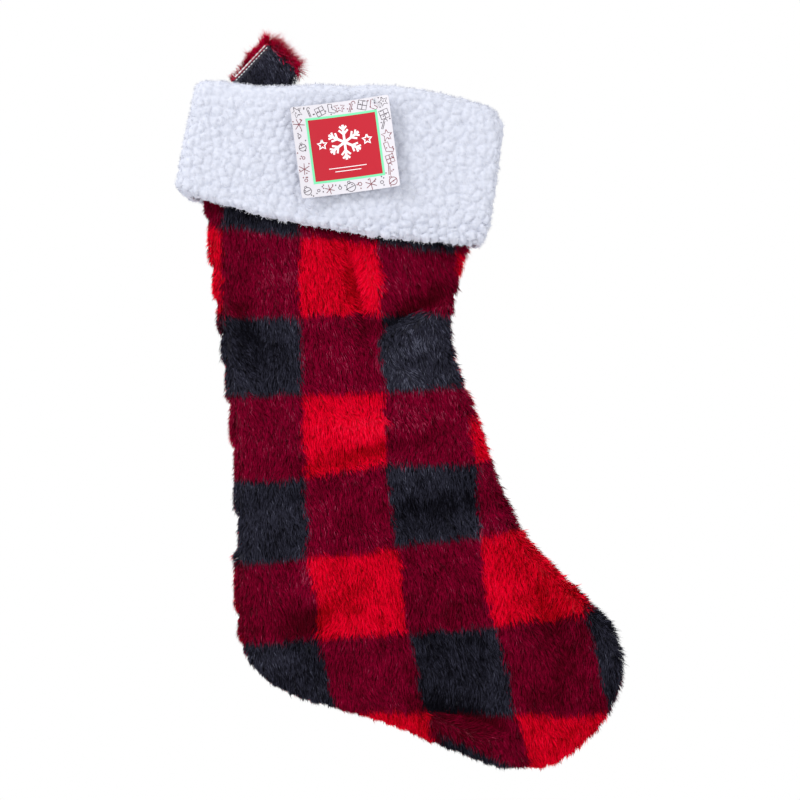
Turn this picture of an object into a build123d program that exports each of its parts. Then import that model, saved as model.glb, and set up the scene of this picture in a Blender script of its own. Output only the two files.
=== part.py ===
from build123d import *
import math
import os

# A plush hanging stocking: two panels of long-pile fur, a turned-down sherpa cuff, a hanging loop of the
# same fur and a card on a nylon pin. Millimetres. +Z is up, +X points to the toe's side, and the front
# faces -Y. The origin is the centre of the hanging loop's eye. Everything is symmetric about the seam
# plane Y = 0 except the stitching, the tack and the card.

# ---- driving dimensions
PANEL_WALL = 7.5          # pile and backing together
CAVITY_HALF = 10.5        # half of the room between the two backings
SEAM_ALLOWANCE = 5.0      # width of the overlocked allowance inside the panels' edge
SEAM_THICK = 1.6          # the two allowances pressed together
CUFF_WALL = 7.0           # sherpa, pile and backing together
CUFF_SLACK = 1.0          # air between the cuff's flap and the panel under it
FACING_THICK = 3.0        # sherpa turned inside the mouth, pressed thinner
FACING_DEEP = 30.0        # how far the facing reaches down inside
CUFF_SEAM_WIDE = 2.0      # allowance of the cuff's side seams
CUFF_SEAM_LOW = 66.0      # how far below the fold line they end, above the rolled hem
THREAD = 0.6              # thickness of the sewing thread
HEM_TURN = 14.0           # height of the hem's stitch line above the cuff's edge

STRIP_WIDE = 27.5         # the loop's strip
EYE_R = 3.5               # inside radius of the loop's bend
BEND_R = 7.5              # outside radius of the loop's bend
GAP_LONG = 10.0           # from the eye to the gap's narrow end
GAP_END_R = 2.2
LOOP_LEAN = 45.0          # degrees from upright, towards +X
TAB_START = 25.0          # from the eye to where the strip's two legs are pressed together
TAB_HALF = 2.0            # half thickness of the pressed legs
STRIP_LONG = 34.5         # from the eye to the strip's ends
TACK_X = -18.0            # the strip flexes here, where it is tacked between the mouth's lips
TACK_Z = -18.0
ENDS_DEEP = 9.0           # the strip's ends reach this far below that place
STITCH_ROWS = (12.6, 11.0)    # the edge stitching's rows, from the strip's middle
TACK_LONG = 12.0          # tack stitches across the pressed legs
TACK_HIGH = 2.4
TACK_UP = 3.0             # above the strip's ends
TACK_GAP = 0.3

CARD_WIDE = 68.0
CARD_HIGH = 63.0
CARD_THICK = 0.5
CARD_BOW_R = 115.0        # the card's sides bow towards its printed face
CARD_TILT = 7.5           # degrees
CARD_X = 47.0
CARD_Z = -62.8
CARD_GAP = 3.5            # between the cuff and the middle of the card
CARD_CORNER_R = 1.5
HOLE_U = 24.0             # pin hole in the card, from its middle
HOLE_V = 28.5
HOLE_LONG = 3.7
HOLE_WIDE = 1.6

FILAMENT_R = 0.4
PIN_PLAY = 0.05           # radial, where the filament turns in the cuff
T_BAR_LONG = 8.0
T_BAR_R = 0.6
T_BAR_PLAY = 0.4
PADDLE_LONG = 4.0
PADDLE_HIGH = 2.4
PADDLE_THICK = 0.8
PADDLE_AHEAD = 3.0        # slack filament between the card's face and the paddle

# ---- outlines, as (X, Z) points
LEG_FRONT = [(135, -8), (133, -60), (129, -135), (119, -187), (139, -251), (168, -325), (207, -367)]
TOE = [(236, -403), (238, -432), (218, -470), (193, -490)]
SOLE = [(168, -495), (116, -480), (62, -459), (24, -448)]
HEEL = [(-4, -437), (-23, -418), (-29, -397)]
LEG_BACK = [(-30, -334), (-33, -271), (-41, -198), (-50, -124), (-54, -40), (-54, 12)]

CUFF_TOP = [(-60, -16), (45, -19), (158, -38)]      # the fold's two ends and its crown
CUFF_HEM = [(144, -134), (30, -119), (-75, -92)]
CUFF_CORNERS = (8.0, 16.0, 12.0, 8.0)               # top left, top right, hem right, hem left

EDGE_ROUND = 10.0         # the panels' outer edge
CUFF_ROUND = 6.5          # the cuff's outer edge and fold
LIP_ROUND = 5.5           # the fold's inner edge, at the mouth
BELOW = 12.0              # how far a cutting shape runs past the edge it opens
FIT_GAP = 0.5             # between the panels' top edge and the fold above it
FAR = 700.0               # longer than the stocking
OVERLAP = 1.0             # how far a cutting shape starts inside the room that it opens
TINY = 1e-3
EDGE_STEPS = 60           # spans of an outline that runs beside the panels' edge

# ---- derived places
PANEL_HALF = CAVITY_HALF + PANEL_WALL
FLAP_HALF = PANEL_HALF + CUFF_SLACK
CUFF_HALF = FLAP_HALF + CUFF_WALL
SLOT_HALF = CAVITY_HALF - FACING_THICK
FOLD_SLOPE = (CUFF_TOP[2][1] - CUFF_TOP[0][1]) / (CUFF_TOP[2][0] - CUFF_TOP[0][0])
LIP_ANGLE = -math.degrees(math.atan(FOLD_SLOPE))
CARD_BACK_Y = -(CUFF_HALF + CARD_GAP)
CARD_AT_PIN_Y = CARD_BACK_Y - HOLE_U**2 / (2 * CARD_BOW_R) - CARD_THICK
PADDLE_Y = CARD_AT_PIN_Y - PADDLE_AHEAD - PADDLE_THICK
T_BAR_Y = -(FLAP_HALF + T_BAR_R + T_BAR_PLAY / 2)
TILT = math.radians(CARD_TILT)
PIN_X = CARD_X + HOLE_U * math.cos(TILT) - HOLE_V * math.sin(TILT)
PIN_Z = CARD_Z + HOLE_U * math.sin(TILT) + HOLE_V * math.cos(TILT)
LEG_TOP_DEEP = 2 * FACING_DEEP                      # below this the whole leg is kept
LONG_EDGE = 2 * (CUFF_TOP[2][0] - CUFF_TOP[0][0])   # only the leg and foot's edge is longer than this
FRONT, BACK = -1, 1


def fold_line_z(x, shift):
    """Height of the straight line between the fold's two ends, moved by shift."""
    return CUFF_TOP[0][1] + FOLD_SLOPE * (x - CUFF_TOP[0][0]) + shift


def upright(points):
    """XZ points as vectors in the seam plane."""
    return [Vector(x, 0, z) for x, z in points]


def outline(points):
    """A straight-sided face in the seam plane."""
    corners = upright(points)
    return make_face(Polyline(*corners, close=True).edges()).face()


def under_fold(shift, left=-FAR, right=FAR):
    """Everything in the seam plane under the fold line moved by shift, between two sides."""
    return outline(
        [(left, fold_line_z(left, shift)), (right, fold_line_z(right, shift)), (right, -FAR), (left, -FAR)]
    )


def slab(face, deep, side, start=0.0):
    """A seam-plane face pushed out to one side, from start to deep."""
    return Pos(0, side * start, 0) * extrude(face, amount=deep - start, dir=(0, side, 0))


def inset(face, by):
    """The face made smaller all round."""
    return offset(face, amount=-by, kind=Kind.INTERSECTION).face()


def rounded_slab(face, deep, side, radius, shortest=0.0):
    """A slab whose outer edge is rounded, apart from edges shorter than this."""
    solid = slab(face, deep, side)
    outer = [e for e in solid.edges() if abs((e @ 0).Y - side * deep) + abs((e @ 1).Y - side * deep) < TINY]
    return fillet([e for e in outer if e.length > shortest], radius)


def body_face(by=0.0):
    """Leg and foot, one smooth edge moved inwards, with a straight top that the cuff's fold trims."""
    edge = Spline(*upright(LEG_FRONT + TOE + SOLE + HEEL + LEG_BACK))
    if by:
        steps = [n / EDGE_STEPS for n in range(EDGE_STEPS + 1)]
        edge = Spline(*[edge @ t + Vector((edge % t).Z, 0, -(edge % t).X) * by for t in steps])
    return make_face([edge, Line(edge @ 1, edge @ 0)]).face()


def cuff_face():
    """The turned-down cuff, between a crowned fold and a bowed hem."""
    top, hem = upright(CUFF_TOP), upright(CUFF_HEM)
    edges = [
        ThreePointArc(*top),
        Line(top[2], hem[0]),
        ThreePointArc(*hem),
        Line(hem[2], top[0]),
    ]
    face = make_face(edges).face()
    for place, radius in zip((top[0], top[2], hem[0], hem[2]), CUFF_CORNERS, strict=True):
        corner = min(face.vertices(), key=lambda v: (Vector(*v) - place).length)
        face = face.fillet_2d(radius, [corner])
    return face


BODY = body_face()
CAVITY = body_face(PANEL_WALL)
SLOT = body_face(PANEL_WALL + FACING_THICK)
CUFF = cuff_face()
UNDER_CUFF = inset(CUFF, CUFF_WALL)


def panel(side):
    """One fur panel: a dished half shell, open towards the seam plane, with its top under the fold."""
    solid = rounded_slab(BODY, PANEL_HALF, side, EDGE_ROUND, shortest=LONG_EDGE)
    solid &= slab(Pos(0, 0, -FIT_GAP) * UNDER_CUFF + under_fold(-LEG_TOP_DEEP), CUFF_HALF, side)
    return solid - slab(CAVITY, CAVITY_HALF, side, -OVERLAP)


def body_seam():
    """The two allowances sewn together, a flat rib round the inside of the leg and foot."""
    rib = (CAVITY - body_face(PANEL_WALL + SEAM_ALLOWANCE)) & under_fold(-FACING_DEEP - 2 * THREAD)
    return slab(rib, SEAM_THICK / 2, FRONT) + slab(rib, SEAM_THICK / 2, BACK)


def cuff_half(side):
    """Flap, fold and facing of one sherpa piece."""
    solid = rounded_slab(CUFF, CUFF_HALF, side, CUFF_ROUND)
    solid -= slab(UNDER_CUFF + Pos(0, 0, -BELOW) * UNDER_CUFF, FLAP_HALF, side, -OVERLAP)
    facing = (CAVITY & UNDER_CUFF) - under_fold(-FACING_DEEP)
    solid += slab(facing, CAVITY_HALF, side)
    solid -= slab(SLOT - under_fold(-FACING_DEEP - BELOW), SLOT_HALF, side, -OVERLAP)
    lip = [
        e
        for e in solid.edges()
        if abs(abs(e.center().Y) - SLOT_HALF) < TINY
        and e.center().Z > fold_line_z(e.center().X, -OVERLAP)
        and e.length > STRIP_WIDE
    ]
    return fillet(lip, LIP_ROUND)


def pin_way():
    """The filament's hole through the cuff's front wall, and room for the T bar behind it."""
    room_r = T_BAR_LONG / 2 + T_BAR_PLAY + T_BAR_R
    room_deep = 2 * T_BAR_R + T_BAR_PLAY
    way = Cylinder(FILAMENT_R + PIN_PLAY, 2 * CUFF_HALF, rotation=(90, 0, 0))
    room = Pos(0, T_BAR_Y, 0) * Cylinder(room_r, room_deep + T_BAR_PLAY, rotation=(90, 0, 0))
    return Pos(PIN_X, 0, PIN_Z) * (way + room)


def cuff_side_seam(left, right):
    """A side seam's allowance, on the inside of the cuff's side wall."""
    rib = UNDER_CUFF - inset(CUFF, CUFF_WALL + CUFF_SEAM_WIDE)
    span = under_fold(-FACING_DEEP, left, right) - under_fold(-CUFF_SEAM_LOW, left, right)
    rib = rib & span
    return slab(rib, THREAD, FRONT) + slab(rib, THREAD, BACK)


def cuff_hem_seam():
    """The hem's thread on the inner face of the flap, front and back."""
    ends = CUFF_WALL + 2 * CUFF_SEAM_WIDE
    (right_x, right_z), middle, (left_x, left_z) = CUFF_HEM
    hem = upright([(right_x - ends, right_z), middle, (left_x + ends, left_z)])
    low = [place + Vector(0, 0, HEM_TURN) for place in hem]
    high = [place + Vector(0, 0, 2 * THREAD) for place in low]
    edges = [ThreePointArc(*low), Line(low[2], high[2]), ThreePointArc(*high), Line(high[0], low[0])]
    line = make_face(edges).face()
    return Compound(children=[slab(line, FLAP_HALF, side, FLAP_HALF - THREAD) for side in (FRONT, BACK)])


def mouth_seam():
    """The thread along the facing's lower edge, on the panels' inner faces."""
    line = (SLOT & under_fold(-FACING_DEEP)) - under_fold(-FACING_DEEP - 2 * THREAD)
    return Compound(children=[slab(line, CAVITY_HALF, side, CAVITY_HALF - THREAD) for side in (FRONT, BACK)])


def loop_plane():
    """The loop's section: local X runs down the strip from the eye, local Y is +Y, Z is across the strip."""
    lean = math.radians(LOOP_LEAN)
    return Plane(
        (0, 0, 0),
        x_dir=(-math.sin(lean), 0, -math.cos(lean)),
        z_dir=(math.cos(lean), 0, -math.sin(lean)),
    )


def loop_section():
    """The folded strip seen edge on, without its gap."""
    start = Pos(TAB_START + THREAD / 2, 0) * Rectangle(THREAD, 2 * TAB_HALF)
    tab = Pos((TAB_START + STRIP_LONG) / 2, 0) * Rectangle(STRIP_LONG - TAB_START, 2 * TAB_HALF)
    return make_hull((Circle(BEND_R) + start).edges()) + tab


def above_base(solid):
    """The strip's ends trimmed along the mouth."""
    knife = Box(FAR, FAR, FAR, align=(Align.CENTER, Align.CENTER, Align.MAX))
    return solid - Pos(TACK_X, 0, TACK_Z - ENDS_DEEP) * Rot(0, LIP_ANGLE, 0) * knife


def loop_strip():
    """The hanging loop, open between its legs from the eye to the gap's end."""
    gap = make_hull((Circle(EYE_R) + Pos(GAP_LONG, 0) * Circle(GAP_END_R)).edges())
    section = loop_plane() * (loop_section() - gap)
    return above_base(extrude(section, amount=STRIP_WIDE / 2, both=True))


def loop_edge_stitching():
    """Two rows of thread down the front leg, beside the strip's raw edge."""
    layer = offset(loop_section(), amount=THREAD, kind=Kind.INTERSECTION) - loop_section()
    layer &= Pos(STRIP_LONG / 2, -TAB_HALF - BEND_R) * Rectangle(STRIP_LONG, 2 * BEND_R)
    rows = []
    for row in STITCH_ROWS:
        plane = loop_plane().offset(-row)
        rows.append(above_base(extrude(plane * layer, amount=THREAD, both=True)))
    return Compound(children=rows)


def loop_bartack():
    """Tack stitches across the pressed legs, just above the strip's ends."""
    bar = Box(TACK_LONG, THREAD, TACK_HIGH)
    y = -TAB_HALF - TACK_GAP - THREAD / 2
    return Pos(TACK_X, y, TACK_Z - ENDS_DEEP + TACK_UP) * Rot(0, LIP_ANGLE, 0) * bar


def bowed_arc(radius):
    """The card seen from above at one radius: an arc whose middle is nearest the cuff."""
    half = math.asin(CARD_WIDE / 2 / CARD_BOW_R)
    places = [(radius * math.sin(turn), radius * math.cos(turn) - CARD_BOW_R) for turn in (-half, 0, half)]
    return ThreePointArc(*places)


def tag_card():
    """The bowed card with its slotted pin hole."""
    back, front = bowed_arc(CARD_BOW_R), bowed_arc(CARD_BOW_R - CARD_THICK)
    section = make_face([back, Line(back @ 1, front @ 1), front, Line(front @ 0, back @ 0)])
    plate = extrude(section, amount=CARD_HIGH / 2, both=True)
    corners = [e for e in plate.edges() if e.length < 2 * CARD_THICK]
    plate = fillet(corners, CARD_CORNER_R)
    hole = Pos(HOLE_U, HOLE_V) * SlotOverall(HOLE_LONG, HOLE_WIDE, rotation=90)
    plate -= extrude(Plane.XZ * hole, amount=CARD_BOW_R / 2, both=True)
    return Pos(CARD_X, CARD_BACK_Y, CARD_Z) * Rot(0, -CARD_TILT, 0) * plate


def tag_pin():
    """T bar behind the cuff's wall, filament through cuff and card, oval paddle in front."""
    bar = Pos(0, T_BAR_Y, 0) * Cylinder(T_BAR_R, T_BAR_LONG, rotation=(0, 90, 0))
    length = T_BAR_Y - PADDLE_Y
    filament = Pos(0, T_BAR_Y - length / 2, 0) * Cylinder(FILAMENT_R, length, rotation=(90, 0, 0))
    oval = Plane.XZ * Ellipse(PADDLE_LONG / 2, PADDLE_HIGH / 2)
    paddle = Pos(0, PADDLE_Y + PADDLE_THICK, 0) * extrude(oval, amount=PADDLE_THICK)
    return Pos(PIN_X, 0, PIN_Z) * Rot(0, -CARD_TILT, 0) * (bar + filament + paddle)


nodes = {
    "front_panel": panel(FRONT),
    "back_panel": panel(BACK),
    "body_seam": body_seam(),
    "cuff_front": cuff_half(FRONT) - pin_way(),
    "cuff_back": cuff_half(BACK),
    "cuff_seam_left": cuff_side_seam(-FAR, CUFF_TOP[0][0]),
    "cuff_seam_right": cuff_side_seam(CUFF_HEM[0][0] - BELOW, FAR),
    "cuff_hem_seam": cuff_hem_seam(),
    "mouth_seam": mouth_seam(),
    "loop_strip": loop_strip(),
    "loop_edge_stitching": loop_edge_stitching(),
    "loop_bartack": loop_bartack(),
    "tag_card": tag_card(),
    "tag_pin": tag_pin(),
}

os.makedirs("parts", exist_ok=True)
for name, shape in nodes.items():
    shape.label = name
    export_step(shape, f"parts/{name}.step")
    box = shape.bounding_box()
    print(f"{name:20s} {shape.volume:12.1f} mm3  {box.min}  {box.max}")
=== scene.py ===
import itertools
import math

import bmesh
import bpy
import numpy as np
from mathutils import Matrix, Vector
from mathutils.bvhtree import BVHTree


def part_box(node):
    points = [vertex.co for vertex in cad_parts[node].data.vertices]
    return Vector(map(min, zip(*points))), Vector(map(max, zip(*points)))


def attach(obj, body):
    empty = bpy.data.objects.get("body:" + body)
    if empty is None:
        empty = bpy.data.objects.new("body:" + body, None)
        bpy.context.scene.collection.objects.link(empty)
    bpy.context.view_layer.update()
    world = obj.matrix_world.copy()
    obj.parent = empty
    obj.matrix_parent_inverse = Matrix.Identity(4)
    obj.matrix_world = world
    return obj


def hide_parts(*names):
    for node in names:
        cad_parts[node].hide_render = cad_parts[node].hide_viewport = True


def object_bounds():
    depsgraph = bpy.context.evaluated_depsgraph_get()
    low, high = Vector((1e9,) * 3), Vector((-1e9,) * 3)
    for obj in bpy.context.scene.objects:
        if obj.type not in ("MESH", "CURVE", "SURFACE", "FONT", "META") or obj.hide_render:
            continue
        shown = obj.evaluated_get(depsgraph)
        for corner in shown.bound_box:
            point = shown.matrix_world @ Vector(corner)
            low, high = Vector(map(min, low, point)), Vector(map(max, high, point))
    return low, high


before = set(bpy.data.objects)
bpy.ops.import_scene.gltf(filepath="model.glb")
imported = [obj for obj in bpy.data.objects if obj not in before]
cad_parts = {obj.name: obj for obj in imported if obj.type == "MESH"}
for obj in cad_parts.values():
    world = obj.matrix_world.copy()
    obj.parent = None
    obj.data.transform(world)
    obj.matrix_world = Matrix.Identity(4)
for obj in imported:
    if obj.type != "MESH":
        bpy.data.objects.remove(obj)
cad_box = [list(corner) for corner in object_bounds()]

# A plush hanging stocking in long-pile checked fur. Metres, in the CAD frame: +Z up, +X to the toe's side,
# and the front faces -Y. The origin is the eye of the hanging loop.

MM = 0.001
FRONT, BACK = -1, 1
SIDES = {FRONT: "front", BACK: "back"}
PILE_SEEDS = {FRONT: 11, BACK: 12}
FUZZ_SEEDS = {FRONT: 21, BACK: 22}

# ---- the fur panels
CELL = 3 * MM                 # grid of the panels' cloth
BLOAT = 14 * MM               # from the seam plane to the cloth, in the middle of the leg
BLOAT_CURVE = 0.34            # a smaller power is flatter in the middle and rounder at the seam
BLOAT_STEPS = 3000
BACKING = 1.6 * MM
UNDER_CUFF_Z = -60 * MM       # above this height the panel's outline runs on as it is there
FOLD_Z = -22 * MM             # the cuff's fold line at X = 0, and how it slopes towards the toe's side
FOLD_SLOPE = -0.1
TOP_DEPTH = 13.5 * MM         # the panel lies outside the cuff's facing, this far from the seam plane
TOP_WALL = 6 * MM             # and reaches that depth within this distance of its side
RIM_Y = 0.25 * MM             # the sheet's edge lies this far from the seam plane
CLOTH_LEAST = 0.6 * MM        # and the rest of it at least this far
# heights over the fold line
TOP_REACH = (-34 * MM, -58 * MM)    # between these the boxed top takes up the leg's own shape
PILE_START = -40 * MM         # there is no pile above this
RIM_END = -12 * MM            # and the sheet's edge is free above this
FOLD_GROWTH = 1.7             # the pile makes each fold of the cloth this much higher
# each fold: its two ends as (X, Z), its half width and its height, all in millimetres
FOLDS = [
    ((44, -122), (63, -192), 6, -3.0),
    ((62, -130), (72, -176), 7, 1.2),
    ((62, -190), (124, -156), 8, -3.0),
    ((72, -208), (122, -190), 8, 1.1),
    ((74, -212), (106, -228), 5, 1.6),
    ((16, -252), (130, -262), 12, 1.8),
    ((14, -284), (128, -256), 8, -2.0),
    ((60, -318), (178, -300), 12, -2.0),
    ((0, -398), (48, -380), 13, -2.8),
    ((92, -444), (170, -470), 7, -4.0),
    ((30, -330), (24, -392), 12, 1.6),
    ((-30, -150), (-8, -230), 12, -1.8),
    ((176, -352), (206, -428), 12, -1.8),
]

# ---- the buffalo check: its lines, in millimetres
RED, CRIMSON, CHARCOAL, WINE = 0, 1, 2, 3
SHADE_NAMES = ("red", "crimson", "charcoal", "wine")
PANEL_KINDS = (RED, CRIMSON, CHARCOAL)                # wine is on the loop only
COLUMN_LINES = (-102, -38, 16, 77, 137, 202, 266)     # X of the column lines
PIVOT_X = COLUMN_LINES[2] * MM
COLUMN_PINCH = 0.14           # the columns are this much narrower at the cuff, where the leg is gathered
PINCH_Z = (-117 * MM, -290 * MM)
FOOT_Z = -260 * MM            # below this the columns bend towards the toe
FOOT_BEND = 0.7               # metres of bend per metre squared
ROW_LINES = (-60, -121, -176, -230, -286, -343, -401, -453, -518)     # Z of the row lines at PIVOT_X
ROW_SLOPES = (-0.1, -0.1, 0.02, 0.03, 0.08, 0.11, 0.09, 0.02, 0.0)
SOLE_PATCH = (112 * MM, 172 * MM)   # the sole's dark patch, from heel to toe
SOLE_PATCH_Z = -465 * MM      # its upper edge at the heel end
SOLE_PATCH_SLOPE = 0.45
BACK_SHIFT = (57 * MM, 24 * MM)     # the back panel was cut this much further on, across and down
FINE_WOBBLE = (0.025, 14 * MM)      # how far the lines stray, in checks, and over what distance
BROAD_WOBBLE = (0.05, 70 * MM)

# ---- pile
PILE_PER_M2 = 2.3e6
PILE_LONG = 7.6 * MM
PILE_WIDE = 0.34 * MM
PILE_WAY = (0.2, 0, -1.0)     # the panels' pile lies this way
PILE_LEAN = (42, 66)          # degrees from upright of a hair's lower and upper span
SPAN_SHARES = (0.6, 0.4)      # of a hair's length
WAIST = 0.8                   # a hair's width between its spans, as a share of its root's
EDGE_BLUR = 1.2 * MM          # hairs stray about this far over a line of the check
TUFT = 7 * MM
RIM_THICKER = 1.6             # hairs at the seam's edge are this much wider
RIM_LONGER = 0.15             # and this much longer
SOLE_PRESSED = 0.4            # share by which the pile is shorter along the heel and the sole
FOLD_SHADE = 4.5 * MM         # painted light and shade: relief that turns the pile by one whole shade, lighter on ridges, darker in creases
FOLD_REACH = 4 * MM           # the slope of a fold is taken over twice this
LIGHT_SIDE = (-0.7, 0.7)      # the folds' sides facing this way, in X and Z, get painted light, the far sides painted shade
FOOT_PAINTED_SHADE = 0.45            # painted shade: the foot's pile takes its darker shades,
FOOT_FADE = 200 * MM          # wholly so this far below FOOT_Z
ALL_DARKER = 0.1              # and all of the pile takes darker shades evenly, this much
FINE_LEVEL = (0.4, 7 * MM)    # share and size of each pattern that chooses a hair's shades
BROAD_LEVEL = (0.35, 26 * MM)
OWN_LEVEL = 0.42              # and the share that is the hair's own
LOW_STEPS = (-0.55, 0.25)     # levels at which a hair's lower half takes its next shade
HIGH_STEPS = (-0.95, -0.4, 0.72)    # and its upper half


# ==================== numbers

def hashed(cells, seed):
    """A fixed random number from 0 to 1 for each whole-numbered cell."""
    n = cells.astype(np.int64)
    mixed = (n[..., 0] * 73856093) ^ (n[..., 1] * 19349663) ^ (n[..., 2] * 83492791) ^ (seed * 2654435761)
    mixed = (mixed ^ (mixed >> 13)) * 1274126177
    mixed = (mixed ^ (mixed >> 16)) & 0xFFFFFF
    return mixed / 0xFFFFFF


def drift(points, size, seed):
    """Smooth noise from -1 to 1, with its humps about size apart."""
    scaled = points / size
    base = np.floor(scaled)
    part = scaled - base
    part = part * part * (3 - 2 * part)
    total = np.zeros(len(points))
    for corner in itertools.product((0, 1), repeat=3):
        share = np.prod(np.where(np.array(corner) == 1, part, 1 - part), axis=1)
        total += share * hashed(base + np.array(corner), seed)
    return 2 * total - 1


def nearest_centre(points, size, seed, flat=False):
    """Distances to the nearest two of many scattered centres, in sizes, with the offset to the nearest
    and its number. Flat centres all lie at Y = 0."""
    scaled = points / size
    base = np.floor(scaled)
    best = np.full(len(points), 9.0)
    second = np.full(len(points), 9.0)
    offset = np.zeros((len(points), 3))
    number = np.zeros(len(points))
    for step in itertools.product((-1, 0, 1), (0,) if flat else (-1, 0, 1), (-1, 0, 1)):
        cell = base + np.array(step)
        centre = cell + np.stack([hashed(cell, seed + n) for n in (1, 2, 3)], axis=1)
        away = centre - scaled
        if flat:
            away[:, 1] = 0
        far = np.linalg.norm(away, axis=1)
        closer = far < best
        second = np.where(closer, best, np.minimum(second, far))
        best = np.where(closer, far, best)
        offset = np.where(closer[:, None], away, offset)
        number = np.where(closer, hashed(cell, seed), number)
    return best, second, offset * size, number


def share_of(values, start, end):
    """How far values are on the way from start to end, kept from 0 to 1."""
    return np.clip((values - start) / (end - start), 0, 1)


def unit(vectors):
    return vectors / np.maximum(np.linalg.norm(vectors, axis=-1, keepdims=True), 1e-9)


# ==================== materials

def srgb(red, green, blue):
    """A colour on the usual 0 to 255 scale as the shader's linear colour."""
    shares = [v / 255 for v in (red, green, blue)]
    linear = [s / 12.92 if s <= 0.04045 else ((s + 0.055) / 1.055) ** 2.4 for s in shares]
    return (*linear, 1.0)


def plain_material(name, color, roughness, **sockets):
    """One Principled shader with uniform values, each set on its own socket."""
    material = bpy.data.materials.new(name)
    material.use_nodes = True
    shader = material.node_tree.nodes["Principled BSDF"]
    shader.inputs["Base Color"].default_value = color
    shader.inputs["Roughness"].default_value = roughness
    for socket, value in sockets.items():
        shader.inputs[socket.replace("_", " ").title().replace("Ior", "IOR")].default_value = value
    return material


def add_bump(material, texture, strength, depth):
    """Bump from a noise texture."""
    tree = material.node_tree
    bump = tree.nodes.new("ShaderNodeBump")
    bump.inputs["Strength"].default_value = strength
    bump.inputs["Distance"].default_value = depth
    tree.links.new(texture.outputs["Fac"], bump.inputs["Height"])
    tree.links.new(bump.outputs["Normal"], tree.nodes["Principled BSDF"].inputs["Normal"])


def add_noise(material, scale, detail=3.0):
    """A noise texture in object space."""
    tree = material.node_tree
    place = tree.nodes.new("ShaderNodeTexCoord")
    noise = tree.nodes.new("ShaderNodeTexNoise")
    noise.inputs["Scale"].default_value = scale
    noise.inputs["Detail"].default_value = detail
    tree.links.new(place.outputs["Object"], noise.inputs["Vector"])
    return noise


def tint_between(material, texture, low, high):
    """Base colour that drifts between two colours with a texture."""
    tree = material.node_tree
    ramp = tree.nodes.new("ShaderNodeValToRGB")
    ramp.color_ramp.elements[0].color = low
    ramp.color_ramp.elements[0].position = 0.35
    ramp.color_ramp.elements[1].color = high
    ramp.color_ramp.elements[1].position = 0.65
    tree.links.new(texture.outputs["Fac"], ramp.inputs["Fac"])
    tree.links.new(ramp.outputs["Color"], tree.nodes["Principled BSDF"].inputs["Base Color"])


def pile_material(name, color):
    return plain_material(name, color, 0.65, specular_ior_level=0.02)


# deep, root, body and tip shades of each fur colour; hairs take them partly at random and partly as painted
# light and shade, the deep shade for painted shade, the tip shade for painted highlight
PILE_SHADES = {
    RED: (srgb(166, 0, 16), srgb(216, 0, 32), srgb(244, 0, 46), srgb(252, 26, 68)),
    CRIMSON: (srgb(78, 0, 18), srgb(108, 0, 32), srgb(142, 2, 46), srgb(176, 62, 92)),
    CHARCOAL: (srgb(14, 13, 20), srgb(30, 30, 40), srgb(54, 54, 68), srgb(100, 102, 120)),
    WINE: (srgb(150, 0, 38), srgb(190, 2, 52), srgb(218, 18, 72), srgb(236, 68, 108)),
}


def pile_materials():
    """Four shades for each fur colour."""
    shades = {}
    for kind, colors in PILE_SHADES.items():
        names = [f"{SHADE_NAMES[kind]}_pile_{part}" for part in ("deep", "root", "body", "tip")]
        shades[kind] = [pile_material(n, c) for n, c in zip(names, colors, strict=True)]
    return shades


def backing_material(kind):
    """The dense ground of the fur, in one check colour."""
    _, root, body, _ = PILE_SHADES[kind]
    material = plain_material(f"{SHADE_NAMES[kind]}_ground", root, 0.8, sheen_weight=0.2)
    noise = add_noise(material, 900.0)
    tint_between(material, noise, root, body)
    add_bump(material, noise, 0.6, 0.6 * MM)
    return material


def sherpa_material(name):
    material = plain_material(name, srgb(196, 200, 214), 0.9, specular_ior_level=0.05)
    noise = add_noise(material, 420.0, 4.0)
    tint_between(material, noise, srgb(199, 203, 216), srgb(210, 213, 225))
    add_bump(material, noise, 0.25, 0.3 * MM)
    return material


# ==================== meshes

def show(name, points, faces, materials, kinds=None):
    """A mesh object from points and faces; kinds gives each face's material."""
    mesh = bpy.data.meshes.new(name)
    mesh.from_pydata([tuple(p) for p in points], [], faces)
    for material in materials:
        mesh.materials.append(material)
    if kinds is not None:
        mesh.polygons.foreach_set("material_index", np.asarray(kinds, np.int32))
    mesh.update()
    piece = bpy.data.objects.new(name, mesh)
    bpy.context.collection.objects.link(piece)
    return piece


def smooth(piece):
    piece.data.polygons.foreach_set("use_smooth", np.ones(len(piece.data.polygons), bool))
    return piece


def settled(piece):
    """The object with its modifiers made real."""
    bpy.context.view_layer.update()
    final = bpy.data.meshes.new_from_object(piece.evaluated_get(bpy.context.evaluated_depsgraph_get()))
    piece.modifiers.clear()
    piece.data = final
    return piece


def points_of(piece):
    flat = np.zeros(len(piece.data.vertices) * 3)
    piece.data.vertices.foreach_get("co", flat)
    return flat.reshape(-1, 3)


def normals_of(piece):
    flat = np.zeros(len(piece.data.vertices) * 3)
    piece.data.vertices.foreach_get("normal", flat)
    return flat.reshape(-1, 3)


def move_points(piece, points):
    piece.data.vertices.foreach_set("co", points.ravel())
    piece.data.update()


def remeshed(node, name, voxel, smoothing):
    """A soft copy of a CAD node: evenly meshed and slightly smoothed."""
    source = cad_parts[node]
    piece = bpy.data.objects.new(name, source.data.copy())
    piece.data.materials.clear()
    bpy.context.collection.objects.link(piece)
    remesh = piece.modifiers.new("even", "REMESH")
    remesh.mode = "VOXEL"
    remesh.voxel_size = voxel
    soften = piece.modifiers.new("soft", "SMOOTH")
    soften.factor = 0.5
    soften.iterations = smoothing
    return smooth(settled(piece))


def tree_of(piece):
    mesh = piece.data
    return BVHTree.FromPolygons([v.co for v in mesh.vertices], [p.vertices for p in mesh.polygons])


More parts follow.
